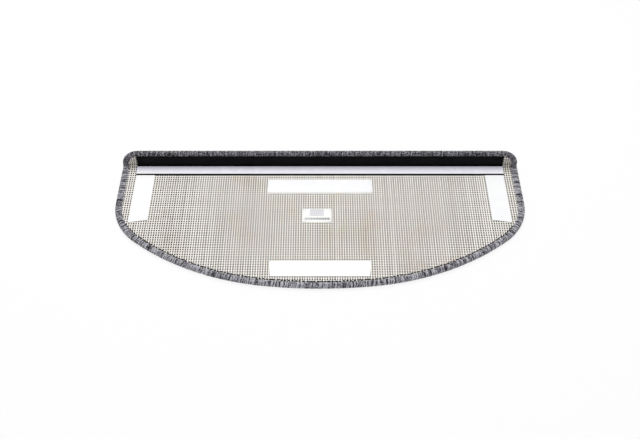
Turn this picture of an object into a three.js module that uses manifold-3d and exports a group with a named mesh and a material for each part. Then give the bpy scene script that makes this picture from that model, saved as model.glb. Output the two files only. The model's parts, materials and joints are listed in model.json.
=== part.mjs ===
// Half-round carpet stair mat, in millimetres, lying on its pile with the woven back up.
// The curved edge is the front, at -Y. The lip that hooks over the stair's nosing stands at the back.
import * as THREE from "three";
import { mergeVertices } from "three/addons/utils/BufferGeometryUtils.js";
import Module from "manifold-3d";

// Outline of the mat.
const matWidth = 650;
const matDepth = 264;
const lipHeight = 37;
const frontArcRadius = 700;
const shoulderRadius = 395;
const shoulderX = 35.6;
const sideCornerRadius = 102.5;
const lipCornerWidth = 28.5;
const foldRadius = 10.5;

// Layers, from the pile face up: tufted pile, then the woven back with its warp ridges.
const pileThickness = 6;
const layerGap = 0.3;
const wovenThickness = 1.4;
const ridgePitch = 3.72;
const ridgeTopWidth = 1.9;
const grooveDepth = 0.6;

// Yarn whipped over the cut edge. It laps less far on the lip, where the profile stands close.
const yarnThickness = 1.4;
const yarnClearance = 0.4;
const whipEdgeThickness = 2.6;
const whipRounding = 3;
const treadLap = 11;
const lipLap = 7;
const stitchPitch = 8.2;
const stitchPinch = 0.5;
const stitchSlant = 4;

// Plastic angle profile in the fold, ending just past the lip's straight top, and the tape on its
// tread leg.
const profileEndReach = 3.5;
const profileTread = 22.5;
const profileRise = 21.6;
const profileThickness = 2;
const profileFillet = 0.8;
const profileTapeWidth = 18.2;
const profileTapeSetback = 1.3;

// Double-sided tapes on the woven back: a strip of adhesive under a release liner.
const adhesiveThickness = 0.4;
const linerThickness = 0.2;
const tapeWidth = 30;
const sideTapeMargin = 6.3;
const sideTapeSlant = 5;
const sideTapeInset = 0.6;
const sideTapeGap = 0.5;
const backTapeLength = 168;
const backTapeFlare = 2.4;
const backTapeGap = 10.5;
const frontTapeLength = 153.6;
const frontTapeFlare = -5.4;
const frontTapeFromEdge = 19.5;

// Small label stuck on the back, a little left of the middle.
const labelWidth = 46;
const labelDepth = 29;
const labelThickness = 0.3;
const labelFromMiddle = -4.5;
const labelFromFront = 129.3;

// Largest distance between a curve and its facets, and how far cutting shapes run past the mat.
const facetSag = 0.04;
const overshoot = 5;

// Places worked out from the sizes above.
const frontY = -matDepth / 2;
const backY = matDepth / 2;
const foldY = backY - foldRadius;
const wovenBottom = pileThickness + layerGap;
const wovenTop = wovenBottom + wovenThickness;
const whipHeight = wovenTop + layerGap + yarnThickness;
const sheetInset = whipEdgeThickness + yarnClearance;
const frontArcY = frontY + frontArcRadius;
const shoulderY = frontArcY - Math.sqrt((frontArcRadius - shoulderRadius) ** 2 - shoulderX ** 2);
const cornerX = matWidth / 2 - sideCornerRadius;
const cornerAway = shoulderRadius - sideCornerRadius;
const cornerY = shoulderY - Math.sqrt(cornerAway ** 2 - (cornerX - shoulderX) ** 2);
const shoulderAngle = Math.atan2(frontArcY - shoulderY, shoulderX);
const cornerAngle = Math.atan2(shoulderY - cornerY, cornerX - shoulderX);
const lipCornerHeight = lipHeight - foldRadius;
const lipCornerX = matWidth / 2 - lipCornerWidth;
const riserBackY = backY - wovenTop;
const profileFrontY = riserBackY - profileTread;
const profileLength = 2 * (lipCornerX + profileEndReach);

const wasm = await Module();
wasm.setup();

const xAxis = new THREE.Vector3(1, 0, 0);
const yAxis = new THREE.Vector3(0, 1, 0);
const zAxis = new THREE.Vector3(0, 0, 1);

// A closed geometry as a solid that can be joined and cut.
function toSolid(geometry) {
  geometry.deleteAttribute("normal");
  geometry.deleteAttribute("uv");
  const merged = mergeVertices(geometry, 1e-5);
  const mesh = new wasm.Mesh({
    numProp: 3,
    vertProperties: new Float32Array(merged.attributes.position.array),
    triVerts: new Uint32Array(merged.index.array),
  });
  return new wasm.Manifold(mesh);
}

// A solid back as a geometry with flat facets.
function toGeometry(solid) {
  const mesh = solid.getMesh();
  const geometry = new THREE.BufferGeometry();
  geometry.setAttribute("position", new THREE.BufferAttribute(mesh.vertProperties, 3));
  geometry.setIndex(new THREE.BufferAttribute(mesh.triVerts, 1));
  const facets = geometry.toNonIndexed();
  facets.computeVertexNormals();
  return facets;
}

// Points along an arc or a stretch of an ellipse, close enough to stay within the facet sag.
function arc(x, y, radiusX, radiusY, from, to) {
  const radius = Math.max(radiusX, radiusY);
  const step = 2 * Math.acos(1 - Math.min(facetSag / radius, 0.1));
  const steps = Math.ceil(Math.abs(to - from) / step);
  return new THREE.EllipseCurve(x, y, radiusX, radiusY, from, to, to < from).getPoints(steps);
}

// A closed shape through points, without the repeats where two stretches meet.
function shapeThrough(points) {
  return new THREE.Shape(points.filter((point, i) => point.distanceTo(points.at(i - 1)) > 1e-4));
}

// A shape drawn in YZ, XZ or XY, extruded along the third axis.
function prismX(shape, from, to) {
  return extruded(shape, from, to).applyMatrix4(new THREE.Matrix4().makeBasis(yAxis, zAxis, xAxis));
}

function prismY(shape, from, to) {
  const turn = new THREE.Matrix4().makeBasis(xAxis, zAxis, yAxis.clone().negate());
  return extruded(shape, -to, -from).applyMatrix4(turn);
}

function prismZ(shape, from, to) {
  return extruded(shape, from, to);
}

function extruded(shape, from, to) {
  const geometry = new THREE.ExtrudeGeometry(shape, { depth: to - from, bevelEnabled: false });
  return geometry.translate(0, 0, from);
}

// Plan of the mat inside its border: a shallow front arc that runs through two shoulders into two
// side corners.
function planShape(inset) {
  const side = matWidth / 2 - inset;
  const corner = sideCornerRadius - inset;
  const shoulder = shoulderRadius - inset;
  const front = frontArcRadius - inset;
  return shapeThrough([
    new THREE.Vector2(-side, backY + overshoot),
    ...arc(-cornerX, cornerY, corner, corner, Math.PI, Math.PI + cornerAngle),
    ...arc(-shoulderX, shoulderY, shoulder, shoulder, Math.PI + cornerAngle, Math.PI + shoulderAngle),
    ...arc(0, frontArcY, front, front, Math.PI + shoulderAngle, 2 * Math.PI - shoulderAngle),
    ...arc(shoulderX, shoulderY, shoulder, shoulder, -shoulderAngle, -cornerAngle),
    ...arc(cornerX, cornerY, corner, corner, -cornerAngle, 0),
    new THREE.Vector2(side, backY + overshoot),
  ]);
}

// Front view of the lip inside its border: above the bend both ends round over into the top.
function lipShape(sideInset, topInset) {
  const side = matWidth / 2 - sideInset;
  const across = lipCornerWidth - sideInset;
  const up = lipCornerHeight - topInset;
  return shapeThrough([
    new THREE.Vector2(-side, -overshoot),
    new THREE.Vector2(side, -overshoot),
    ...arc(lipCornerX, foldRadius, across, up, 0, Math.PI / 2),
    ...arc(-lipCornerX, foldRadius, across, up, Math.PI / 2, Math.PI),
  ]);
}

// Everything that lies further in than the given distances from the border.
function withinBorder(sideInset, topInset) {
  const plan = toSolid(prismZ(planShape(sideInset), -overshoot, lipHeight + overshoot));
  const lip = toSolid(prismY(lipShape(sideInset, topInset), frontY - overshoot, backY + overshoot));
  return plan.intersect(lip);
}

// Side view of the folded sheet between two heights above its pile face.
function foldedSection(low, high) {
  const radius = foldRadius - low;
  return shapeThrough([
    new THREE.Vector2(frontY - overshoot, low),
    ...arc(foldY, foldRadius, radius, radius, -Math.PI / 2, 0),
    new THREE.Vector2(backY - low, lipHeight + overshoot),
    new THREE.Vector2(backY - high, lipHeight + overshoot),
    new THREE.Vector2(backY - high, high),
    new THREE.Vector2(frontY - overshoot, high),
  ]);
}

function foldedSheet(low, high) {
  return toSolid(prismX(foldedSection(low, high), -matWidth / 2, matWidth / 2));
}

// The pile is full height inside the whipping and pressed flat under it, out to the cut edge.
function pileCarpet() {
  const pressed = foldedSheet(yarnThickness + yarnClearance, pileThickness);
  const full = foldedSheet(0, pileThickness);
  const edge = pressed.intersect(withinBorder(sheetInset, sheetInset));
  const field = full.intersect(withinBorder(treadLap + yarnClearance, lipLap + yarnClearance));
  return toGeometry(edge.add(field));
}

// Depth below the ridge tops, point by point across the mat: flat tops with grooves between them.
function ridgeLine() {
  const count = Math.floor((matWidth - 2 * sheetInset) / ridgePitch);
  const points = [];
  for (let i = 0; i < count; i += 1) {
    const middle = (i - (count - 1) / 2) * ridgePitch;
    points.push([middle - ridgeTopWidth / 2, 0]);
    points.push([middle + ridgeTopWidth / 2, 0]);
    if (i < count - 1) points.push([middle + ridgePitch / 2, grooveDepth]);
  }
  return points;
}

// The warp ridges run back along the tread and turn up the lip.
function wovenBacking() {
  const line = ridgeLine();
  const [left, right] = [line[0][0], line.at(-1)[0]];
  const tread = new THREE.Shape([
    ...line.map(([x, depth]) => new THREE.Vector2(x, wovenTop - depth)),
    new THREE.Vector2(right, wovenBottom),
    new THREE.Vector2(left, wovenBottom),
  ]);
  const lip = new THREE.Shape([
    ...line.map(([x, depth]) => new THREE.Vector2(x, riserBackY + depth)),
    new THREE.Vector2(right, backY - wovenBottom),
    new THREE.Vector2(left, backY - wovenBottom),
  ]);
  const treadPart = toSolid(prismY(tread, frontY - overshoot, backY - wovenBottom));
  const lipPart = toSolid(prismZ(lip, wovenBottom, lipHeight + overshoot));
  return toGeometry(treadPart.add(lipPart).intersect(withinBorder(sheetInset, sheetInset)));
}

// An arc in space, from its centre and its two half-axes.
class BorderArc extends THREE.Curve {
  constructor(centre, across, up, from, to) {
    super();
    Object.assign(this, { centre, across, up, from, to });
  }

  getPoint(t) {
    const angle = THREE.MathUtils.lerp(this.from, this.to, t);
    return this.centre
      .clone()
      .addScaledVector(this.across, Math.cos(angle))
      .addScaledVector(this.up, Math.sin(angle));
  }
}

// An arc of the border that lies in the plan of the mat.
function planArc(x, y, radius, from, to) {
  const centre = new THREE.Vector3(x, y, 0);
  const across = xAxis.clone().multiplyScalar(radius);
  return new BorderArc(centre, across, yAxis.clone().multiplyScalar(radius), from, to);
}

// The border's stretches at one end of the lip, going up on the right and down on the left.
function lipEnd(side) {
  const quarter = Math.PI / 2;
  const bendCentre = new THREE.Vector3((side * matWidth) / 2, foldY, foldRadius);
  const bend = [yAxis, zAxis].map((axis) => axis.clone().multiplyScalar(foldRadius));
  const cornerCentre = new THREE.Vector3(side * lipCornerX, backY, foldRadius);
  const across = xAxis.clone().multiplyScalar(side * lipCornerWidth);
  const up = zAxis.clone().multiplyScalar(lipCornerHeight);
  if (side > 0) {
    return [
      new BorderArc(bendCentre, ...bend, -quarter, 0),
      new BorderArc(cornerCentre, across, up, 0, quarter),
    ];
  }
  return [
    new BorderArc(cornerCentre, across, up, quarter, 0),
    new BorderArc(bendCentre, ...bend, 0, -quarter),
  ];
}

// The pile-side edge of the mat as one loop, anticlockwise seen from above.
function borderPath() {
  const side = matWidth / 2;
  const point = (place) => new THREE.Vector3(...place);
  const straight = (from, to) => new THREE.LineCurve3(point(from), point(to));
  const path = new THREE.CurvePath();
  path.curves = [
    planArc(0, frontArcY, frontArcRadius, Math.PI + shoulderAngle, 2 * Math.PI - shoulderAngle),
    planArc(shoulderX, shoulderY, shoulderRadius, -shoulderAngle, -cornerAngle),
    planArc(cornerX, cornerY, sideCornerRadius, -cornerAngle, 0),
    straight([side, cornerY, 0], [side, foldY, 0]),
    ...lipEnd(1),
    straight([lipCornerX, backY, lipHeight], [-lipCornerX, backY, lipHeight]),
    ...lipEnd(-1),
    straight([-side, foldY, 0], [-side, cornerY, 0]),
    planArc(-cornerX, cornerY, sideCornerRadius, Math.PI, Math.PI + cornerAngle),
    planArc(-shoulderX, shoulderY, shoulderRadius, Math.PI + cornerAngle, Math.PI + shoulderAngle),
  ];
  return path;
}

// Direction through the mat from its pile to its back: up on the tread, forward on the lip.
function throughMat(point) {
  const forward = Math.min(foldY - point.y, 0);
  const up = Math.max(foldRadius - point.z, 0);
  return new THREE.Vector3(0, forward, up).normalize();
}

// How far the whipping laps over the mat. Round the corners of the lip it narrows, up to the smaller
// ellipse that its inner edge follows there.
function lapAt(point) {
  const across = Math.abs(point.x) - lipCornerX;
  const up = point.z - foldRadius;
  if (up <= 0) return treadLap;
  if (across <= 0) return lipLap;
  const inner = new THREE.Vector2(lipCornerWidth - treadLap, lipCornerHeight - lipLap);
  const place = new THREE.Vector2(across, up).divide(inner);
  const inward = new THREE.Vector2(across / lipCornerWidth ** 2, up / lipCornerHeight ** 2).normalize();
  const step = inward.divide(inner);
  const half = place.dot(step);
  return (half - Math.sqrt(half ** 2 - step.lengthSq() * (place.lengthSq() - 1))) / step.lengthSq();
}

// Section of the whipping as distances in from the border and up from the pile face: a C that
// grips the sheet, with the outer faces drawn in between two stitches.
function whipSection(lap, pinch) {
  const slotTop = whipHeight - yarnThickness;
  return [
    [lap, pinch],
    [lap, yarnThickness],
    [whipEdgeThickness, yarnThickness],
    [whipEdgeThickness, slotTop],
    [lap, slotTop],
    [lap, whipHeight - pinch],
    [whipRounding, whipHeight - pinch],
    [pinch, whipHeight - whipRounding],
    [pinch, whipRounding],
    [whipRounding, pinch],
  ];
}

// The whipping is a loop of slanted stitches, swollen in the middle and pinched between them.
function whippedEdge() {
  const path = borderPath();
  const length = path.getLength();
  const rings = 2 * Math.round(length / stitchPitch);
  const sides = whipSection(treadLap, 0).length;
  const positions = [];
  const index = [];
  for (let ring = 0; ring < rings; ring += 1) {
    const pinch = ring % 2 === 0 ? 0 : stitchPinch;
    for (let side = 0; side < sides; side += 1) {
      const up = whipSection(treadLap, pinch)[side][1];
      const shift = (stitchSlant / length) * (up / whipHeight - 0.5);
      const along = (ring / rings + shift + 1) % 1;
      const edge = path.getPoint(along);
      const inward = whipSection(lapAt(edge), pinch)[side][0];
      const through = throughMat(edge);
      const into = through.clone().cross(path.getTangent(along)).normalize();
      edge.addScaledVector(into, inward).addScaledVector(through, up);
      positions.push(edge.x, edge.y, edge.z);
      const here = ring * sides + side;
      const beside = ring * sides + ((side + 1) % sides);
      const next = ((ring + 1) % rings) * sides;
      index.push(here, beside, next + ((side + 1) % sides));
      index.push(here, next + ((side + 1) % sides), next + side);
    }
  }
  const geometry = new THREE.BufferGeometry();
  geometry.setAttribute("position", new THREE.Float32BufferAttribute(positions, 3));
  geometry.setIndex(index);
  return geometry.toNonIndexed();
}

// L profile: its tread leg lies on the woven back and its riser leg stands against the lip.
function angleProfile() {
  const innerY = riserBackY - profileThickness;
  const treadTop = wovenTop + profileThickness;
  const corner = profileFillet + profileThickness;
  const section = shapeThrough([
    new THREE.Vector2(profileFrontY, wovenTop),
    ...arc(riserBackY - corner, wovenTop + corner, corner, corner, -Math.PI / 2, 0),
    new THREE.Vector2(riserBackY, wovenTop + profileRise),
    new THREE.Vector2(innerY, wovenTop + profileRise),
    ...arc(innerY - profileFillet, treadTop + profileFillet, profileFillet, profileFillet, 0, -Math.PI / 2),
    new THREE.Vector2(profileFrontY, treadTop),
  ]);
  return prismX(section, -profileLength / 2, profileLength / 2);
}

// A four-sided strip across the mat, longer at its front edge than at its back by the flare.
function crossStrip(length, flare, nearY, farY) {
  return new THREE.Shape([
    new THREE.Vector2(-(length + flare) / 2, nearY),
    new THREE.Vector2((length + flare) / 2, nearY),
    new THREE.Vector2(length / 2, farY),
    new THREE.Vector2(-length / 2, farY),
  ]);
}

// A strip running forward from the profile's end until it nears the whipping of the side corner,
// where it is cut off at a slant. side is -1 or 1.
function sideStrip(side) {
  const outer = profileLength / 2 - sideTapeInset;
  const inner = outer - tapeWidth;
  const farY = profileFrontY - sideTapeGap;
  const whipY = cornerY - Math.sqrt((sideCornerRadius - treadLap) ** 2 - (outer - cornerX) ** 2);
  const nearY = whipY + sideTapeMargin;
  return new THREE.Shape([
    new THREE.Vector2(side * outer, farY),
    new THREE.Vector2(side * inner, farY),
    new THREE.Vector2(side * inner, nearY + sideTapeSlant),
    new THREE.Vector2(side * outer, nearY),
  ]);
}

const pileFinish = { color: 0x8b8a8f, roughness: 1, metalness: 0 };
const wovenFinish = { color: 0xcbc6c0, roughness: 0.95, metalness: 0 };
const whipFinish = { color: 0x7c7b81, roughness: 1, metalness: 0 };
const profileFinish = { color: 0x161618, roughness: 0.45, metalness: 0 };
const adhesiveFinish = { color: 0xdcdce0, roughness: 0.5, metalness: 0 };
const linerFinish = { color: 0xf4f4f8, roughness: 0.3, metalness: 0 };
const labelFinish = { color: 0xf1f0ee, roughness: 0.6, metalness: 0 };

const stairMat = new THREE.Group();

function addPiece(name, geometry, finish) {
  const mesh = new THREE.Mesh(geometry, new THREE.MeshStandardMaterial(finish));
  mesh.name = name;
  stairMat.add(mesh);
}

// A tape is two pieces of one outline: the adhesive on the surface and the liner on top of it.
function addTape(name, shape, surface) {
  const linerBottom = surface + adhesiveThickness;
  addPiece(name + "_adhesive", prismZ(shape, surface, linerBottom), adhesiveFinish);
  addPiece(name + "_liner", prismZ(shape, linerBottom, linerBottom + linerThickness), linerFinish);
}

addPiece("pile_carpet", pileCarpet(), pileFinish);
addPiece("woven_backing", wovenBacking(), wovenFinish);
addPiece("whipped_edge", whippedEdge(), whipFinish);
addPiece("angle_profile", angleProfile(), profileFinish);

const profileTapeY = profileFrontY + profileTapeSetback;
const profileTape = crossStrip(profileLength, 0, profileTapeY, profileTapeY + profileTapeWidth);
addTape("profile_tape", profileTape, wovenTop + profileThickness);

const backTapeY = profileFrontY - backTapeGap;
const backTape = crossStrip(backTapeLength, backTapeFlare, backTapeY - tapeWidth, backTapeY);
const frontTapeY = frontY + frontTapeFromEdge;
const frontTape = crossStrip(frontTapeLength, frontTapeFlare, frontTapeY, frontTapeY + tapeWidth);
addTape("left_tape", sideStrip(-1), wovenTop);
addTape("right_tape", sideStrip(1), wovenTop);
addTape("back_tape", backTape, wovenTop);
addTape("front_tape", frontTape, wovenTop);

const labelY = frontY + labelFromFront;
const labelShape = crossStrip(labelWidth, 0, labelY, labelY + labelDepth);
addPiece("back_label", prismZ(labelShape, wovenTop, wovenTop + labelThickness), labelFinish);
stairMat.getObjectByName("back_label").position.x = labelFromMiddle;

export default stairMat;
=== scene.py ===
import bpy
import json
import math
import numpy as np
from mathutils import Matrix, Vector

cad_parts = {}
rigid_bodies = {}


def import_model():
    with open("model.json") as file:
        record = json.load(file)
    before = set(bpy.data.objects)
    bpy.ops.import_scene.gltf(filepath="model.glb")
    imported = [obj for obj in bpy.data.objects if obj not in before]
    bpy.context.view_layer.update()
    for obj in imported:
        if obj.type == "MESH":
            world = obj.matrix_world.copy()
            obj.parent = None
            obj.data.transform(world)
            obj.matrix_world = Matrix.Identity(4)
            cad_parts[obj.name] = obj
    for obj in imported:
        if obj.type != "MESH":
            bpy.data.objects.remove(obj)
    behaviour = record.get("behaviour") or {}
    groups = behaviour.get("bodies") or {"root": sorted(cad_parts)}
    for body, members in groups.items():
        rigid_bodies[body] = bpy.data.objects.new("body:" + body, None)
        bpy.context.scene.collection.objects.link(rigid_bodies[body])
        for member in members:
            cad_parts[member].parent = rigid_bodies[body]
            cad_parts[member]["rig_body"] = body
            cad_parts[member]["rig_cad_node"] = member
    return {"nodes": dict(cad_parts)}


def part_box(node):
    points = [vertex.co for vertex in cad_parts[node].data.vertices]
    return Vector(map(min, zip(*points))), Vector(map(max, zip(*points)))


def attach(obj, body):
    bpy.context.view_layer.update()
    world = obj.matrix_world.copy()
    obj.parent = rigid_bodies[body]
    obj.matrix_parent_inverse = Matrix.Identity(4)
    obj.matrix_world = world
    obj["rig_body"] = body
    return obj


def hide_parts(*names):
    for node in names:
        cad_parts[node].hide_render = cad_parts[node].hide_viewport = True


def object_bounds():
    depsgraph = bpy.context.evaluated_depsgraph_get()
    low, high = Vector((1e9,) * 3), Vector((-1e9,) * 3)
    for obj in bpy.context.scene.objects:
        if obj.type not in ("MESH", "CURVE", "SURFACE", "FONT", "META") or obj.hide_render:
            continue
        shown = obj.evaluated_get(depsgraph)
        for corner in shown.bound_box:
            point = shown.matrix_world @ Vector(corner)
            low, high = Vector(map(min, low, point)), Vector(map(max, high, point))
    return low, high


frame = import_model()
cadLow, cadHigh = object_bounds()
mm = 0.001
weld = 0.01 * mm  # points closer than this are one
creaseAbove = math.radians(35)
noiseBand = (0.3, 0.7)  # where most of a noise's values lie
luck = np.random.default_rng(11)

# the mat's outline, as its solids have it
frontArc, shoulderArc, sideCorner = 700 * mm, 395 * mm, 102.5 * mm
shoulderX = 35.6 * mm  # centre of the shoulder's arc, from the middle
lipCornerWidth = 28.5 * mm
fold = 10.5 * mm  # radius of the bend, at the pile's face
matSide, backY, lipTop = cadHigh
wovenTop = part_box("angle_profile")[0].z
whipHeight = 9.4 * mm
foldY = backY - fold
frontArcY = frontArc - backY
shoulderY = frontArcY - math.sqrt((frontArc - shoulderArc) ** 2 - shoulderX**2)
cornerX = matSide - sideCorner
cornerY = shoulderY - math.sqrt((shoulderArc - sideCorner) ** 2 - (cornerX - shoulderX) ** 2)
shoulderAngle = math.atan2(frontArcY - shoulderY, shoulderX)
cornerAngle = math.atan2(shoulderY - cornerY, cornerX - shoulderX)
lipCornerX = matSide - lipCornerWidth
lipCornerHeight = lipTop - fold
arcSteps, borderSteps, acrossSteps = 400, 1600, 1000
planArcs = [  # centre, radius and angles of the right half, from the middle of the front
    (0.0, frontArcY, frontArc, -math.pi / 2, -shoulderAngle),
    (shoulderX, shoulderY, shoulderArc, -shoulderAngle, -cornerAngle),
    (cornerX, cornerY, sideCorner, -cornerAngle, 0.0),
]


def srgb(red, green, blue):
    shares = [value / 255 for value in (red, green, blue)]
    return *(((c + 0.055) / 1.055) ** 2.4 if c > 0.04 else c / 12.92 for c in shares), 1.0


# shaping helpers
def selectOnly(piece):
    bpy.ops.object.select_all(action="DESELECT")
    piece.select_set(True)
    bpy.context.view_layer.objects.active = piece


def finishWith(piece, kind, **settings):
    selectOnly(piece)
    modifier = piece.modifiers.new(kind.title(), kind)
    for name, value in settings.items():
        setattr(modifier, name, value)
    bpy.ops.object.modifier_apply(modifier=modifier.name)


def pointsOf(piece):
    flat = np.empty(len(piece.data.vertices) * 3)
    piece.data.vertices.foreach_get("co", flat)
    return flat.reshape(-1, 3)


def movePoints(piece, points):
    piece.data.vertices.foreach_set("co", np.asarray(points, float).ravel())
    piece.data.update()


def chooseIn(piece, kind, chosen):  # opens edit mode with the chosen points or faces selected
    selectOnly(piece)
    bpy.ops.object.mode_set(mode="EDIT")
    bpy.ops.mesh.select_mode(type=kind)
    bpy.ops.mesh.select_all(action="DESELECT")
    bpy.ops.object.mode_set(mode="OBJECT")
    cells = piece.data.vertices if kind == "VERT" else piece.data.polygons
    cells.foreach_set("select", chosen)
    bpy.ops.object.mode_set(mode="EDIT")


def deletePoints(piece, chosen):
    chooseIn(piece, "VERT", chosen)
    bpy.ops.mesh.delete(type="VERT")
    bpy.ops.object.mode_set(mode="OBJECT")


def deleteEnds(piece, axis):  # the two end faces of a primitive along an axis
    chooseIn(piece, "FACE", [abs(face.normal[axis]) > 0.99 for face in piece.data.polygons])
    bpy.ops.mesh.delete(type="ONLY_FACE")
    bpy.ops.object.mode_set(mode="OBJECT")


def closeOpenEnds(piece):
    selectOnly(piece)
    bpy.ops.object.mode_set(mode="EDIT")
    bpy.ops.mesh.select_all(action="SELECT")
    bpy.ops.mesh.delete_loose()
    bpy.ops.mesh.select_all(action="SELECT")
    bpy.ops.mesh.fill_holes(sides=0)
    bpy.ops.mesh.select_all(action="SELECT")
    bpy.ops.mesh.normals_make_consistent(inside=False)
    bpy.ops.object.mode_set(mode="OBJECT")


def splitAcross(piece, point, normal):
    selectOnly(piece)
    bpy.ops.object.mode_set(mode="EDIT")
    bpy.ops.mesh.select_all(action="SELECT")
    bpy.ops.mesh.bisect(plane_co=point, plane_no=normal)
    bpy.ops.object.mode_set(mode="OBJECT")


def repeatAlong(piece, step, count, merge):
    finishWith(
        piece, "ARRAY", count=count, use_relative_offset=False, use_constant_offset=True,
        constant_offset_displace=step, use_merge_vertices=merge, merge_threshold=weld,
    )


def copiesOf(pattern, name, points):  # one mesh of a pattern's copies, from the points of each copy
    faces = [list(face.vertices) for face in pattern.data.polygons]
    copies, size = points.shape[:2]
    cells = [[corner + i * size for corner in face] for i in range(copies) for face in faces]
    mesh = bpy.data.meshes.new(name)
    mesh.from_pydata(points.reshape(-1, 3), [], cells)
    piece = bpy.data.objects.new(name, mesh)
    bpy.context.scene.collection.objects.link(piece)
    bpy.data.objects.remove(pattern)
    selectOnly(piece)
    bpy.ops.object.mode_set(mode="EDIT")
    bpy.ops.mesh.select_all(action="SELECT")
    bpy.ops.mesh.normals_make_consistent(inside=False)
    bpy.ops.object.mode_set(mode="OBJECT")
    return piece


def settle(piece, finish, creased=False):  # rides on the mat and takes its finish
    piece.data.materials.append(finish)
    selectOnly(piece)
    if creased:
        bpy.ops.object.shade_smooth_by_angle(angle=creaseAbove)
    else:
        bpy.ops.object.shade_smooth()
    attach(piece, "root")
    return piece


def paint(piece, name, values):  # one number for each point, read by the material
    piece.data.attributes.new(name, "FLOAT", "POINT").data.foreach_set("value", np.ravel(values))


# the folded mat and its border
def bentLength(level):  # of a layer through the bend
    return (fold - level) * math.pi / 2


def foldUp(flat, level):  # bends a flat layer up into the lip; its length holds at the level given
    x, along, high = np.asarray(flat, float).T
    bend = fold - level
    past = along - foldY
    angle = np.clip(past / bend, 0, math.pi / 2)
    rest = np.maximum(past - bentLength(level), 0)
    y = np.where(past <= 0, along, foldY + (fold - high) * np.sin(angle))
    z = np.where(past <= 0, high, fold - (fold - high) * np.cos(angle) + rest)
    return np.stack([x, y, z], 1)


def depthInside(points):  # how far points of the folded mat lie inside its border
    x, y, z = np.abs(points[:, 0]), points[:, 1], points[:, 2]
    inArcs = [radius - np.hypot(x - arcX, y - arcY) for arcX, arcY, radius, start, end in planArcs]
    atFront = np.arctan2(frontArcY - y, x) > shoulderAngle
    atShoulder = np.arctan2(shoulderY - y, x - shoulderX) > cornerAngle
    tread = np.select([atFront, atShoulder, y < cornerY], inArcs, matSide - x)
    across, up = np.maximum(x - lipCornerX, 0), np.maximum(z - fold, 1e-6)
    share = np.hypot(across / lipCornerWidth, up / lipCornerHeight)
    return np.where(z > fold, (1 / share - 1) * np.hypot(across, up), tread)


def frontEdge(x, inset):  # where the border lies in front of each x
    x = np.abs(x)
    fronts = [
        arcY - np.sqrt(np.maximum((radius - inset) ** 2 - (x - arcX) ** 2, 0))
        for arcX, arcY, radius, start, end in planArcs
    ]
    arcEnds = [arcX + (radius - inset) * math.cos(end) for arcX, arcY, radius, start, end in planArcs[:2]]
    return np.select([x < arcEnds[0], x < arcEnds[1]], fronts[:2], fronts[2])


def lipEdge(x, inset):  # how high the lip reaches at each x
    share = np.clip((np.abs(x) - lipCornerX) / (lipCornerWidth - inset), 0, 1)
    return fold + (lipCornerHeight - inset) * np.sqrt(1 - share**2)


def arcRun(centre, radii, start, end):
    turn = np.linspace(start, end, arcSteps)
    return centre[0] + radii[0] * np.cos(turn), centre[1] + radii[1] * np.sin(turn)


def halfBorder(treadLap, lipLap):
    # the border from the middle of the front up to the middle of the lip: at even steps its points,
    # the way in from it, the way through the mat, and the width of the whipping
    tread = [arcRun((x, y), (radius, radius), start, end) for x, y, radius, start, end in planArcs]
    tread = [np.stack([x, y, np.zeros_like(x)], 1) for x, y in tread]
    bendY, bendZ = arcRun((foldY, fold), (fold, fold), -math.pi / 2, 0)
    cornerRunX, cornerRunZ = arcRun((lipCornerX, fold), (lipCornerWidth, lipCornerHeight), 0, math.pi / 2)
    bend = np.stack([np.full_like(bendY, matSide), bendY, bendZ], 1)
    corner = np.stack([cornerRunX, np.full_like(cornerRunX, backY), cornerRunZ], 1)
    points = np.concatenate([*tread, bend, corner, [[0, backY, lipTop]]])
    gone = np.concatenate([[0], np.cumsum(np.linalg.norm(np.diff(points, axis=0), axis=1))])
    even = np.linspace(0, gone[-1], borderSteps)
    points = np.stack([np.interp(even, gone, column) for column in points.T], 1)
    tangent = np.gradient(points, axis=0)
    past, below = np.minimum(foldY - points[:, 1], 0), np.maximum(fold - points[:, 2], 0)
    through = np.stack([0 * even, past, below], 1)
    through /= np.linalg.norm(through, axis=1, keepdims=True)
    inward = np.cross(through, tangent)
    inward /= np.linalg.norm(inward, axis=1, keepdims=True)
    place = points[:, [0, 2]] - (lipCornerX, fold)
    inner = np.array([lipCornerWidth - treadLap, lipCornerHeight - lipLap])
    spot, step = place / inner, -inward[:, [0, 2]] / inner
    half, size = (spot * step).sum(1), np.maximum((step * step).sum(1), 1e-9)
    room = np.maximum(half**2 - size * ((spot * spot).sum(1) - 1), 0)
    lap = np.select([place[:, 1] <= 0, place[:, 0] <= 0], [treadLap, lipLap], (half - np.sqrt(room)) / size)
    return even, np.concatenate([points, inward, through, lap[:, None]], 1)


def borderAt(distance, border):
    even, columns = border
    run = np.mod(distance, 2 * even[-1])
    mirror = np.where(run > even[-1], -1, 1)
    run = np.minimum(run, 2 * even[-1] - run)
    spots = np.stack([np.interp(run, even, column) for column in columns.T], -1)
    spots[..., 0] *= mirror
    spots[..., 3] *= mirror
    return spots[..., 0:3], spots[..., 3:6], spots[..., 6:9], spots[..., 9]


# materials
class Signal:  # a number, colour or vector on its way through a material
    def __init__(self, finish, socket):
        self.finish, self.socket = finish, socket

    def maths(self, operation, *values):
        return self.finish.node("ShaderNodeMath", {"operation": operation}, dict(enumerate(values)))

    def output(self, name):
        return Signal(self.finish, self.socket.node.outputs[name])

    def __add__(self, other):
        return self.maths("ADD", self, other)

    def __sub__(self, other):
        return self.maths("SUBTRACT", self, other)

    def __rsub__(self, other):
        return self.maths("SUBTRACT", other, self)

    def __mul__(self, other):
        return self.maths("MULTIPLY", self, other)

    def __abs__(self):
        return self.maths("ABSOLUTE", self)

    __radd__ = __add__
    __rmul__ = __mul__

    def above(self, level):
        return self.maths("GREATER_THAN", self, level)

    def orElse(self, other):
        return self.maths("MAXIMUM", self, other)


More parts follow.
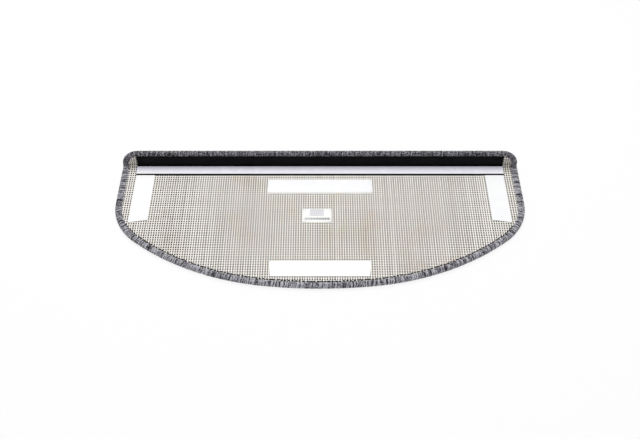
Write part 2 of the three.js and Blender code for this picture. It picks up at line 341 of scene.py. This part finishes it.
class Finish:  # a procedural material
    def __init__(self, name):
        self.material = bpy.data.materials.new(name)
        self.material.use_nodes = True
        self.tree = self.material.node_tree
        self.shader = self.tree.nodes["Principled BSDF"]

    def feed(self, socket, value):
        if isinstance(value, Signal):
            self.tree.links.new(value.socket, socket)
        else:
            socket.default_value = value

    def node(self, kind, settings, values, output=0):
        made = self.tree.nodes.new(kind)
        for name, value in settings.items():
            setattr(made, name, value)
        for name, value in values.items():
            self.feed(made.inputs[name], value)
        return Signal(self, made.outputs[output])

    def place(self):
        return self.node("ShaderNodeTexCoord", {}, {}, "Object")

    def attribute(self, name):
        return self.node("ShaderNodeAttribute", {"attribute_name": name}, {}, "Fac")

    def noise(self, size, detail=2.0, scale=(1, 1, 1)):
        spot = self.node("ShaderNodeMapping", {}, {"Vector": self.place(), "Scale": scale})
        return self.node("ShaderNodeTexNoise", {}, {"Vector": spot, "Scale": 1 / size, "Detail": detail})

    def spread(self, value, low, high, to=(0.0, 1.0)):
        values = {"Value": value, 1: low, 2: high, 3: to[0], 4: to[1]}
        return self.node("ShaderNodeMapRange", {}, values)

    def mix(self, factor, one, other):
        return self.node("ShaderNodeMix", {"data_type": "RGBA"}, {0: factor, 6: one, 7: other}, 2)

    def bump(self, height, depth, strength=1.0):
        values = {"Height": height, "Distance": depth, "Strength": strength}
        return self.node("ShaderNodeBump", {}, values)

    def surface(self, **sockets):
        for name, value in sockets.items():
            self.feed(self.shader.inputs[socketNames[name]], value)
        return self.material


socketNames = {
    "colour": "Base Color", "roughness": "Roughness", "bump": "Normal", "specular": "Specular IOR Level",
    "sheen": "Sheen Weight", "sheenRoughness": "Sheen Roughness", "coat": "Coat Weight",
}


def yarnFinish(name, dark, light, fibre, fleckSize, fleckDepth):  # woolly yarn, its shade from its mesh
    finish = Finish(name)
    fleck = finish.noise(fleckSize, 3.0)
    tone = finish.attribute("shade") + finish.spread(fleck, *noiseBand, (-fleckDepth, fleckDepth))
    hairs = finish.noise(fibre, 2.0)
    return finish.surface(
        colour=finish.mix(finish.spread(tone, 0.0, 1.0), dark, light),
        roughness=1.0, specular=0.1, sheen=0.15, sheenRoughness=0.5,
        bump=finish.bump(hairs, 0.3 * mm, 0.8),
    )


stains = {  # broad and faint, on the woven back
    "size": 52 * mm, "showing": (0.5, 0.72), "brokenBy": 23 * mm, "strength": 0.5,
    "hueSize": 37 * mm, "pink": srgb(222, 196, 184), "yellow": srgb(220, 213, 186),
}


def weaveFinish(name, pale, tan, along):  # flat polypropylene yarn, with the stains
    finish = Finish(name)
    blotch = finish.spread(finish.noise(stains["size"]), *stains["showing"])
    blotch *= finish.spread(finish.noise(stains["brokenBy"]), *noiseBand)
    streak = finish.noise(1.1 * mm, 2.0, along)
    tone = finish.attribute("shade") + finish.spread(streak, *noiseBand, (-0.16, 0.16))
    clean = finish.mix(finish.spread(tone, 0.0, 1.0), tan, pale)
    hue = finish.spread(finish.noise(stains["hueSize"]), 0.4, 0.6)
    stain = finish.mix(hue, stains["pink"], stains["yellow"])
    return finish.surface(
        colour=finish.mix(blotch * stains["strength"], clean, stain), roughness=0.75, specular=0.3,
        bump=finish.bump(streak, 0.12 * mm, 0.6),
    )


def plasticFinish():
    finish = Finish("satinBlackPlastic")
    lines = finish.noise(0.5 * mm, 2.0, (0.01, 1, 1))
    dust = finish.noise(6 * mm, 3.0, (0.3, 1, 1))
    return finish.surface(
        colour=finish.mix(finish.spread(dust, 0.3, 0.8), srgb(3, 3, 6), srgb(18, 17, 22)),
        roughness=finish.spread(dust, 0.2, 0.8, (0.34, 0.46)), specular=0.07,
        bump=finish.bump(lines, 0.02 * mm, 0.5),
    )


def linerFinish(name, low, high, paintedShadeSpan=None):  # from which y to which the painted shade gives way to the paler colour
    finish = Finish(name)
    tone = cloud = finish.spread(finish.noise(18 * mm), *noiseBand)
    if paintedShadeSpan:
        # painted shade: along y the colour runs from the darker one to the paler one
        y = finish.node("ShaderNodeSeparateXYZ", {}, {0: finish.place()}, "Y")
        tone = 0.9 * finish.spread(y, *paintedShadeSpan) + 0.1 * cloud
    return finish.surface(
        colour=finish.mix(tone, low, high),
        roughness=finish.spread(cloud, 0.0, 1.0, (0.2, 0.3)), coat=0.3,
        bump=finish.bump(finish.noise(0.4 * mm), 0.01 * mm, 0.3),
    )


def adhesiveFinish():
    finish = Finish("milkyAdhesive")
    strings = finish.noise(1.5 * mm, 3.0)
    return finish.surface(
        colour=finish.mix(finish.spread(strings, *noiseBand), srgb(205, 206, 210), srgb(232, 232, 236)),
        roughness=finish.spread(strings, *noiseBand, (0.3, 0.55)),
        bump=finish.bump(strings, 0.05 * mm, 0.5),
    )


def latexFinish():
    finish = Finish("latexGround")
    cloud = finish.noise(9 * mm, 4.0)
    return finish.surface(
        colour=finish.mix(finish.spread(cloud, 0.3, 0.75), srgb(34, 31, 28), srgb(60, 56, 51)),
        roughness=0.9, bump=finish.bump(finish.noise(0.9 * mm, 3.0), 0.2 * mm, 0.6),
    )


# carpet ground: latex above, the tufted cloth below
ground = {
    "inset": 1.9 * mm, "top": 6.7 * mm, "thickness": 2.3 * mm, "columns": 160, "rows": 44,
    "rowShares": (0.6, 0.85),  # of the rows on the tread, and of those below the top of the bend
}


def makeGround():
    bpy.ops.mesh.primitive_grid_add(x_subdivisions=ground["columns"], y_subdivisions=ground["rows"], size=1)
    piece = bpy.context.object
    piece.name = "carpetGround"
    across, along = pointsOf(piece).T[:2] + 0.5
    x = (across * 2 - 1) * (matSide - ground["inset"])
    start = frontEdge(x, ground["inset"])
    risen = lipEdge(x, ground["inset"]) - fold
    stops = [0.0, *ground["rowShares"], 1.0]
    share = [np.clip((along - low) / (high - low), 0, 1) for low, high in zip(stops, stops[1:])]
    run = start + share[0] * (foldY - start) + share[1] * bentLength(ground["top"]) + share[2] * risen
    movePoints(piece, foldUp(np.stack([x, run, np.full_like(x, ground["top"])], 1), ground["top"]))
    piece.data.materials.append(latexFinish())
    cloth = yarnFinish("tuftedCloth", srgb(70, 69, 74), srgb(105, 104, 110), 0.5 * mm, 2 * mm, 0.3)
    finishWith(
        piece, "SOLIDIFY", thickness=ground["thickness"], offset=-1, use_even_offset=True,
        material_offset=1, material_offset_rim=1,
    )
    paint(piece, "shade", np.full(len(piece.data.vertices), 0.5))
    return settle(piece, cloth)


# woven back
weave = {
    "pitch": (3.72 * mm, 4.87 * mm),  # across the columns and the rows
    "warpWidth": 2.38 * mm, "warpThickness": 1.0 * mm, "warpDrop": 0.05 * mm,
    "weftWidth": 2.0 * mm, "weftThickness": 0.75 * mm, "weftDrop": 0.05 * mm,
    "crown": 0.6, "waist": 0.84, "dip": 0.3 * mm,
    "wander": 0.1 * mm, "wanderLengths": (17 * mm, 43 * mm), "waveShare": 0.6,
    "thickThin": 0.09, "shadeSpread": 0.2, "inset": 6 * mm,
}


def makeYarns(name, width, thickness, top, along, crestMiddle):
    # one crossing's length of yarn along X or Y, repeated into a whole layer of the weave
    across = 1 - along
    pitch = weave["pitch"]
    size = [width, width, thickness]
    size[along] = pitch[along]
    flatLength = foldY + backY + bentLength(wovenTop) + lipCornerHeight
    counts = [int(2 * matSide / pitch[0]), int(flatLength / pitch[1]) + 1]
    corner = [-(counts[0] - 1) / 2 * pitch[0], -backY + pitch[1] / 2]
    bpy.ops.mesh.primitive_cube_add(size=1, location=(*corner, top - thickness / 2), scale=size)
    piece = bpy.context.object
    piece.name = name
    bpy.ops.object.transform_apply(location=True, rotation=True, scale=True)
    splitAcross(piece, (*corner, 0), (along == 0, along == 1, 0))
    deleteEnds(piece, along)
    points = pointsOf(piece)
    crest = (np.abs(points[:, along] - corner[along]) < pitch[along] / 4) == crestMiddle
    upper = points[:, 2] > top - thickness / 2
    narrow = np.where(upper, weave["crown"], 1.0) * np.where(crest, 1.0, weave["waist"])
    points[:, across] = corner[across] + (points[:, across] - corner[across]) * narrow
    points[upper & ~crest, 2] -= weave["dip"]
    movePoints(piece, points)
    steps = [(pitch[0], 0, 0), (0, pitch[1], 0)]
    repeatAlong(piece, steps[along], counts[along], True)
    repeatAlong(piece, steps[across], counts[across], False)
    points = pointsOf(piece)
    lane = np.rint((points[:, across] - corner[across]) / pitch[across]).astype(int)
    centre = corner[across] + lane * pitch[across]
    ring = points.copy()
    ring[:, across] = centre
    outside = depthInside(foldUp(ring, wovenTop)) < weave["inset"]
    girth = 1 + weave["thickThin"] * luck.standard_normal(counts[across])
    phase = luck.uniform(0, 2 * math.pi, counts[across])[lane]
    short, long = (points[:, along] / length for length in weave["wanderLengths"])
    sway = weave["waveShare"] * (np.sin(short + phase) + np.sin(long - phase))
    sway += luck.standard_normal(counts[across])[lane]
    points[:, across] = centre + (points[:, across] - centre) * girth[lane] + weave["wander"] * sway
    movePoints(piece, foldUp(points, wovenTop))
    shade = 0.5 + weave["shadeSpread"] * luck.standard_normal(counts[across])
    paint(piece, "shade", np.clip(shade, 0, 1)[lane])
    deletePoints(piece, outside)
    closeOpenEnds(piece)
    return piece


# whipped edge
whip = {
    "wraps": 1120, "yarnRadius": 0.66 * mm, "spread": 1.75, "slant": 2.2 * mm,
    "reach": 9.6 * mm, "treadLap": 7.8 * mm, "sideExtra": 3.1 * mm, "lipLap": 7 * mm,
    # centreline of one wrap, in mm: distance in from the border and height above the pile's face
    "path": [
        (9.6, 7.4), (9.0, 8.45), (7.2, 8.78), (4.8, 8.72), (2.9, 8.3), (1.2, 7.05), (0.68, 4.7),
        (1.2, 2.35), (2.9, 1.1), (4.8, 0.7), (7.2, 0.68), (9.0, 0.95), (9.6, 1.9),
    ],
    "edge": 3 * mm,  # inside this the lap's width makes no difference
    # how much the wraps differ in place, width, slant, lap, and how far they sink in and down
    "placeVary": 0.2 * mm, "spreadVary": 0.12, "slantVary": 0.65, "lapVary": 0.3 * mm,
    "sinkVary": (0.1 * mm, 0.2 * mm),
    # shade and contrast of the wraps: on the lip, and how much more at the front of the tread; the shade is
    # painted darker up the lip and paler towards the front and low down, as painted shade and painted light
    "shade": (0.22, 0.29), "contrast": (0.12, 0.175),
    "paintedLightFrom": 100 * mm, "paintedLightOver": 232 * mm, "paintedLightShares": (0.38, 0.62),
    # in a wrap's shade: the wrap before, the slow change over some wraps, the change round a wrap
    "strandShares": (-0.5, 0.25, 0.4), "slowOver": 13, "slowScale": 3.6,
    "driftTurns": 1.5, "shadeRange": (0.02, 1.2),
}
border = halfBorder(whip["treadLap"], whip["lipLap"])
borderLength = 2 * border[0][-1]


def oneWrap():  # a bent yarn with x in from the border, y along it and z up
    curve = bpy.data.curves.new("wrap", "CURVE")
    curve.dimensions = "3D"
    curve.bevel_depth, curve.bevel_resolution, curve.use_fill_caps = whip["yarnRadius"], 1, True
    spline = curve.splines.new("POLY")
    spline.points.add(len(whip["path"]) - 1)
    for point, (inward, up) in zip(spline.points, whip["path"]):
        point.co = (inward * mm, 0, up * mm, 1)
    piece = bpy.data.objects.new("wrap", curve)
    bpy.context.scene.collection.objects.link(piece)
    selectOnly(piece)
    bpy.ops.object.convert(target="MESH")
    return bpy.context.object


def makeWhip():
    pattern = oneWrap()
    inward, across, up = pointsOf(pattern).T
    count = whip["wraps"]

    def vary(spread):
        return luck.normal(0, spread, (count, 1))

    share = up / whipHeight - 0.5
    start = np.arange(count)[:, None] * borderLength / count + vary(whip["placeVary"])
    distance = start + across * whip["spread"] * (1 + vary(whip["spreadVary"]))
    distance += whip["slant"] * (1 + vary(whip["slantVary"])) * share
    point, into, through, lap = borderAt(distance, border)
    free = np.maximum(inward - whip["edge"], 0) / (whip["reach"] - whip["edge"])
    lap = lap + whip["sideExtra"] * (1 - np.abs(into[..., 1])) * (1 - point[..., 2] / lipTop)
    depth = np.minimum(inward, whip["edge"]) + free * (lap + vary(whip["lapVary"]) - whip["edge"])
    depth += np.abs(vary(whip["sinkVary"][0]))
    height = up + np.abs(vary(whip["sinkVary"][1])) * np.where(share > 0, -1, 1)
    spots = point + into * depth[..., None] + through * height[..., None]
    piece = copiesOf(pattern, "whippedEdge", spots)
    even = np.ones(whip["slowOver"]) / whip["slowScale"]
    slow = np.convolve(luck.standard_normal(count + len(even) - 1), even, "valid")
    turn = np.arctan2(share, 0.5 - inward / whip["reach"])
    drift = np.sin(whip["driftTurns"] * turn + luck.uniform(0, 6, (count, 1)))
    # painted light and shade: the wraps' shade rises towards the front and low down, and falls up the lip
    pale = whip["paintedLightShares"][0] * np.clip((whip["paintedLightFrom"] - point[..., 1]) / whip["paintedLightOver"], 0, 1)
    pale += whip["paintedLightShares"][1] * (1 - point[..., 2] / lipTop)
    base, contrast = (low + more * pale for low, more in (whip["shade"], whip["contrast"]))
    strand = luck.standard_normal((count + 1, 1))
    parts = zip(whip["strandShares"], (strand[:-1], slow[:, None], drift))
    shade = base + contrast * (strand[1:] + sum(part * values for part, values in parts))
    paint(piece, "shade", np.clip(shade, *whip["shadeRange"]))
    return piece


# needle thread along the inner side of the whipping; dark and thick, it also stands for the shade in the
# needle holes and in the gap at the whipping's inner edge, which is painted shade
needle = {
    "pitch": 5.5 * mm, "length": 4.0 * mm, "radius": 1.15 * mm, "fromEdge": 10.1 * mm,
    "height": wovenTop + 0.35 * mm, "endWidth": 0.65, "endDrop": 0.5, "shade": (0.2, 0.8),
    "placeVary": (0.3 * mm, 0.2 * mm),  # along the border and in from it
    "facing": 0.5,  # least share of the way in that points back
}


def makeNeedleThreadAndPaintedShade():
    bpy.ops.mesh.primitive_cylinder_add(
        vertices=6, radius=needle["radius"], depth=needle["length"], rotation=(math.pi / 2, 0, 0)
    )
    pattern = bpy.context.object
    bpy.ops.object.transform_apply(location=True, rotation=True, scale=True)
    splitAcross(pattern, (0, 0, 0), (0, 1, 0))
    local = pointsOf(pattern)
    ends = np.abs(local[:, 1]) > needle["length"] / 4
    local[ends] *= (needle["endWidth"], 1, needle["endWidth"])
    local[ends, 2] -= needle["endDrop"] * needle["radius"]
    inward, across, up = local.T
    even, columns = border
    tread = even[np.argmax(columns[:, 4] < needle["facing"])]
    count = int(2 * tread / needle["pitch"])
    start = (np.arange(count)[:, None] - count / 2) * needle["pitch"]
    start += luck.normal(0, needle["placeVary"][0], (count, 1))
    point, into, through, lap = borderAt(start + across, border)
    depth = needle["fromEdge"] + inward + luck.normal(0, needle["placeVary"][1], (count, 1))
    height = needle["height"] + up + np.zeros((count, 1))
    spots = point + into * depth[..., None] + through * height[..., None]
    piece = copiesOf(pattern, "needleThreadAndPaintedShade", spots)
    paint(piece, "shade", luck.uniform(*needle["shade"], len(piece.data.vertices)))
    return piece


# pile
pile = {
    "pitch": 4.6 * mm, "root": 1.6 * mm, "crown": 2.9 * mm, "height": 4.9 * mm, "tip": 0.6 * mm,
    "girth": (0.85, 1.2), "lean": 0.16, "shift": 0.35 * mm, "shorter": 0.35 * mm,
    "underWhip": 1 * mm, "shadeWaves": (31 * mm, 23 * mm), "shadeSpread": (0.1, 0.2),
}


def makePile():
    pitch = pile["pitch"]
    columns = int(2 * matSide / pitch)
    rows = int((foldY + backY + bentLength(0.0) + lipCornerHeight) / pitch)
    corner = (-(columns - 1) / 2 * pitch, pitch / 2 - backY)
    depth = pile["height"] - pile["tip"]
    bpy.ops.mesh.primitive_cone_add(
        vertices=5, radius1=pile["crown"], radius2=pile["root"], depth=depth, end_fill_type="TRIFAN",
        location=(*corner, pile["tip"] + depth / 2),
    )
    piece = bpy.context.object
    piece.name = "cutPile"
    bpy.ops.object.transform_apply(location=True, rotation=True, scale=True)
    tuft = pointsOf(piece)
    tuft[np.argmin(np.hypot(*(tuft[:, :2] - corner).T) + tuft[:, 2]), 2] = 0
    movePoints(piece, tuft)
    size = len(tuft)
    repeatAlong(piece, (pitch, 0, 0), columns, False)
    repeatAlong(piece, (0, pitch, 0), rows, False)
    points = pointsOf(piece).reshape(-1, size, 3)
    centre = points.mean(1, keepdims=True) * (1, 1, 0)
    count = len(points)
    turn = luck.uniform(0, 2 * math.pi, (count, 1))
    x, y, z = np.moveaxis(points - centre, 2, 0)
    spread = luck.uniform(*pile["girth"], (count, 1))
    lean = luck.normal(0, pile["lean"], (count, 2, 1)) * (pile["height"] - z)[:, None]
    lean += luck.normal(0, pile["shift"], (count, 2, 1))
    moved = np.stack([
        (x * np.cos(turn) - y * np.sin(turn)) * spread + lean[:, 0],
        (x * np.sin(turn) + y * np.cos(turn)) * spread + lean[:, 1],
        z + luck.uniform(0, pile["shorter"], (count, 1)) * (z < pile["height"] / 2),
    ], 2) + centre
    folded = foldUp(centre[:, 0], 0.0)
    atTop = (folded[:, 2] > fold) & (np.abs(folded[:, 0]) < lipCornerX)
    lap = np.where(atTop, whip["lipLap"], whip["treadLap"])
    outside = np.repeat(depthInside(folded) < lap - pile["underWhip"], size)
    slow = np.prod(np.sin(folded[:, :2] / pile["shadeWaves"]), axis=1)
    shade = 0.5 + pile["shadeSpread"][0] * slow + pile["shadeSpread"][1] * luck.standard_normal(count)
    paint(piece, "shade", np.repeat(np.clip(shade, 0, 1), size))
    movePoints(piece, foldUp(moved.reshape(-1, 3), 0.0))
    deletePoints(piece, outside)
    return piece


# angle profile
profile = {"edge": 0.35 * mm, "flatBelow": math.radians(1), "edgeAbove": math.radians(40)}


def makeProfile():
    piece = frame["nodes"]["angle_profile"].copy()
    piece.data = piece.data.copy()
    piece.name = "angleProfile"
    piece.parent = None
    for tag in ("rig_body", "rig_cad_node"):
        if tag in piece:
            del piece[tag]
    bpy.context.scene.collection.objects.link(piece)
    piece.data.materials.clear()
    selectOnly(piece)
    bpy.ops.object.mode_set(mode="EDIT")
    bpy.ops.mesh.select_all(action="SELECT")
    bpy.ops.mesh.remove_doubles(threshold=weld)
    bpy.ops.mesh.dissolve_limited(angle_limit=profile["flatBelow"])
    bpy.ops.object.mode_set(mode="OBJECT")
    finishWith(
        piece, "BEVEL", width=profile["edge"], segments=2, limit_method="ANGLE",
        angle_limit=profile["edgeAbove"],
    )
    return piece


# tapes and label
strip = {
    "columns": 60, "rows": 12, "ripple": 0.04 * mm, "rippleWaves": (13 * mm, 9 * mm),
    "curl": 0.35 * mm, "curlReach": 6 * mm, "profileTrim": 1.3 * mm,
}
label = {
    "blockSize": (22 * mm, 15 * mm), "blockPlace": (-0.5 * mm, 5.8 * mm),
    "barSize": (3 * mm, 4.8 * mm), "barGap": 4.4 * mm, "bars": 9, "barRow": -7.4 * mm,
    "barTone": 180, "barDarker": 7,  # of the first bar, and how much darker each next one is
}


def labelFinish(middle):  # plain white with a pale block over a row of plain bars
    finish = Finish("printedLabel")
    spot = finish.node("ShaderNodeSeparateXYZ", {}, {0: finish.place()})

    def inBox(x, y, size):
        inX = (size[0] / 2 - abs(spot - x)).above(0.0)
        return inX * (size[1] / 2 - abs(spot.output("Y") - y)).above(0.0)

    paper = finish.mix(finish.noise(3 * mm), srgb(248, 248, 247), srgb(253, 253, 252))
    block = inBox(middle.x + label["blockPlace"][0], middle.y + label["blockPlace"][1], label["blockSize"])
    colour = finish.mix(block, paper, srgb(220, 220, 223))
    for i in range(label["bars"]):
        barX = middle.x + (i - (label["bars"] - 1) / 2) * label["barGap"]
        bar = inBox(barX, middle.y + label["barRow"], label["barSize"])
        tone = label["barTone"] - label["barDarker"] * i
        colour = finish.mix(bar, colour, srgb(tone, tone, tone))
    return finish.surface(colour=colour, roughness=0.5)


def cornersOf(node):  # the four corners of a strip, anticlockwise from its front left
    low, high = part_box(node)
    spots = {(round(point.co.x, 6), round(point.co.y, 6)) for point in frame["nodes"][node].data.vertices}
    ends = [(low.x, low.y), (high.x, low.y), (high.x, high.y), (low.x, high.y)]
    return [np.array(min(spots, key=lambda spot: math.dist(spot, end))) for end in ends]


def makeStrip(name, node, curl, trim=0.0):
    # a thin sheet over the node's outline, a little wavy, with one corner curled and the back trimmed
    low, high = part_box(node)
    frontLeft, frontRight, backRight, backLeft = cornersOf(node)
    backRight, backLeft = backRight - (0, trim), backLeft - (0, trim)
    bpy.ops.mesh.primitive_grid_add(x_subdivisions=strip["columns"], y_subdivisions=strip["rows"], size=1)
    piece = bpy.context.object
    piece.name = name
    across, along = (pointsOf(piece)[:, i, None] + 0.5 for i in (0, 1))
    front = frontLeft * (1 - across) + frontRight * across
    spots = front * (1 - along) + (backLeft * (1 - across) + backRight * across) * along
    phase = luck.uniform(0, 6, 2)
    ripple = np.prod(np.sin(spots / strip["rippleWaves"] + phase), axis=1)
    away = np.hypot(*(spots - luck.permutation([frontLeft, frontRight])[0]).T)
    lift = curl * np.clip(1 - away / strip["curlReach"], 0, 1) ** 2
    movePoints(piece, np.column_stack([spots, high.z + strip["ripple"] * (ripple + 1) / 2 + lift]))
    finishWith(piece, "SOLIDIFY", thickness=high.z - low.z, offset=-1)
    return piece


# floor, light and camera
light = {
    "world": 0.5, "keyPlace": (-0.15, 0.62, 1.96), "keySize": 1.3, "keyPower": 27.0,
    "floorSize": 8, "floorGap": 0.1 * mm, "floorGlow": 0.86,
}
view = {  # read from the photograph: looking back and down at the woven side
    "lens": 53.72, "elevation": math.radians(47), "distance": 1.492, "lookAt": Vector((0, 2.7, 8)) * mm,
}


def makeFloor():
    bpy.ops.mesh.primitive_plane_add(size=light["floorSize"], location=(0, 0, -light["floorGap"]))
    bpy.ops.object.transform_apply(location=True)
    floor = bpy.context.object
    floor.name = "floor"
    finish = Finish("whiteFloor")
    path = finish.node("ShaderNodeLightPath", {}, {}, "Is Camera Ray")
    seen = path.orElse(path.output("Is Glossy Ray")).orElse(path.output("Is Transmission Ray"))
    finish.surface(colour=(0.97, 0.97, 0.97, 1), roughness=1.0, specular=0.0)
    glow = finish.node("ShaderNodeEmission", {}, {"Color": (1, 1, 1, 1), "Strength": 1.0})
    base = Signal(finish, finish.shader.outputs[0])
    both = finish.node("ShaderNodeMixShader", {}, {0: seen * light["floorGlow"], 1: base, 2: glow})
    finish.feed(finish.tree.nodes["Material Output"].inputs["Surface"], both)
    floor.data.materials.append(finish.material)


def makeLight():
    world = bpy.data.worlds.new("studio")
    bpy.context.scene.world = world
    world.use_nodes = True
    nodes, links = world.node_tree.nodes, world.node_tree.links
    path, strength = nodes.new("ShaderNodeLightPath"), nodes.new("ShaderNodeMix")
    strength.inputs[2].default_value, strength.inputs[3].default_value = light["world"], 1.0
    links.new(path.outputs["Is Camera Ray"], strength.inputs[0])
    links.new(strength.outputs[0], nodes["Background"].inputs["Strength"])
    nodes["Background"].inputs["Color"].default_value = (1, 1, 1, 1)
    bpy.ops.object.light_add(type="AREA", location=light["keyPlace"])
    lamp = bpy.context.object
    lamp.name = "softKey"
    lamp.data.size, lamp.data.energy = light["keySize"], light["keyPower"]
    lamp.rotation_euler = (-Vector(light["keyPlace"])).to_track_quat("-Z", "Y").to_euler()


def makeCamera():
    down = view["elevation"]
    place = view["lookAt"] + Vector((0, -math.cos(down), math.sin(down))) * view["distance"]
    bpy.ops.object.camera_add(location=place, rotation=(math.pi / 2 - down, 0, 0))
    camera = bpy.context.object
    camera.data.lens, camera.data.sensor_width = view["lens"], 36.0
    bpy.context.scene.camera = camera


makeCamera()
makeFloor()
makeLight()
bpy.context.scene.view_settings.view_transform = "Standard"
print("camera, floor and light done")

groundPiece = makeGround()
warpFinish = weaveFinish("warpYarn", srgb(255, 253, 248), srgb(242, 237, 230), (1, 0.08, 1))
weftFinish = weaveFinish("weftYarn", srgb(255, 251, 245), srgb(237, 231, 224), (0.08, 1, 1))
warpTop = wovenTop - weave["warpDrop"]
weftTop = warpTop - weave["weftDrop"]
warp = makeYarns("warpYarns", weave["warpWidth"], weave["warpThickness"], warpTop, 1, True)
weft = makeYarns("weftYarns", weave["weftWidth"], weave["weftThickness"], weftTop, 0, False)
settle(warp, warpFinish)
settle(weft, weftFinish)
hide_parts("woven_backing")
print("woven back done")

greyYarn = yarnFinish("whipYarn", srgb(38, 37, 43), srgb(205, 204, 213), 0.3 * mm, 2.4 * mm, 0.42)
whipPiece = settle(makeWhip(), greyYarn)
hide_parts("whipped_edge")
# near-black thread colour: the real thread, and painted shade of the needle holes and the gap along the
# whipping
threadAndPaintedShade = yarnFinish("needleThreadAndPaintedShade", srgb(8, 8, 11), srgb(38, 38, 44), 0.3 * mm, 1 * mm, 0.2)
threadPiece = settle(makeNeedleThreadAndPaintedShade(), threadAndPaintedShade)
print("whipped edge done")

pileYarn = yarnFinish("pileYarn", srgb(60, 59, 65), srgb(182, 181, 188), 0.3 * mm, 0.5 * mm, 0.6)
pilePiece = settle(makePile(), pileYarn)
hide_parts("pile_carpet")
print("pile done")

profilePiece = settle(makeProfile(), plasticFinish(), creased=True)
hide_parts("angle_profile")
whiteLiner = linerFinish("whiteLiner", srgb(252, 253, 255), srgb(255, 255, 255))
linerLow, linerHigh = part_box("profile_tape_liner")
# the profile's liner is painted darker and lavender towards the riser: painted shade of the lip and painted
# reflection of the black riser
linerWithPaintedShade = linerFinish("linerWithPaintedShade", srgb(223, 220, 238), srgb(252, 251, 255), (linerHigh.y, linerLow.y))
milkyAdhesive = adhesiveFinish()
for tape in ("profile", "left", "right", "back", "front"):
    linerNode = tape + "_tape_liner"
    curl, trim, paper = strip["curl"], 0.0, whiteLiner
    if tape == "profile":
        curl, trim, paper = 0.0, strip["profileTrim"], linerWithPaintedShade
    liner = settle(makeStrip(tape + "Liner", linerNode, curl, trim), paper, creased=True)
    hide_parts(linerNode)
    adhesiveNode = tape + "_tape_adhesive"
    adhesive = makeStrip(tape + "Adhesive", adhesiveNode, 0.0, trim)
    settle(adhesive, milkyAdhesive, creased=True)
    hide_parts(adhesiveNode)
labelLow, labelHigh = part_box("back_label")
printedLabel = labelFinish((labelLow + labelHigh) / 2)
labelPiece = settle(makeStrip("backLabel", "back_label", 0.0), printedLabel, creased=True)
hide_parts("back_label")
print("profile, tapes and label done")

acrossMat = np.linspace(-matSide, matSide, acrossSteps)
cutDepth = foldY - frontEdge(acrossMat, 0.0) + bentLength(ground["top"]) + lipEdge(acrossMat, 0.0) - fold
float(2 * matSide * cutDepth.mean())
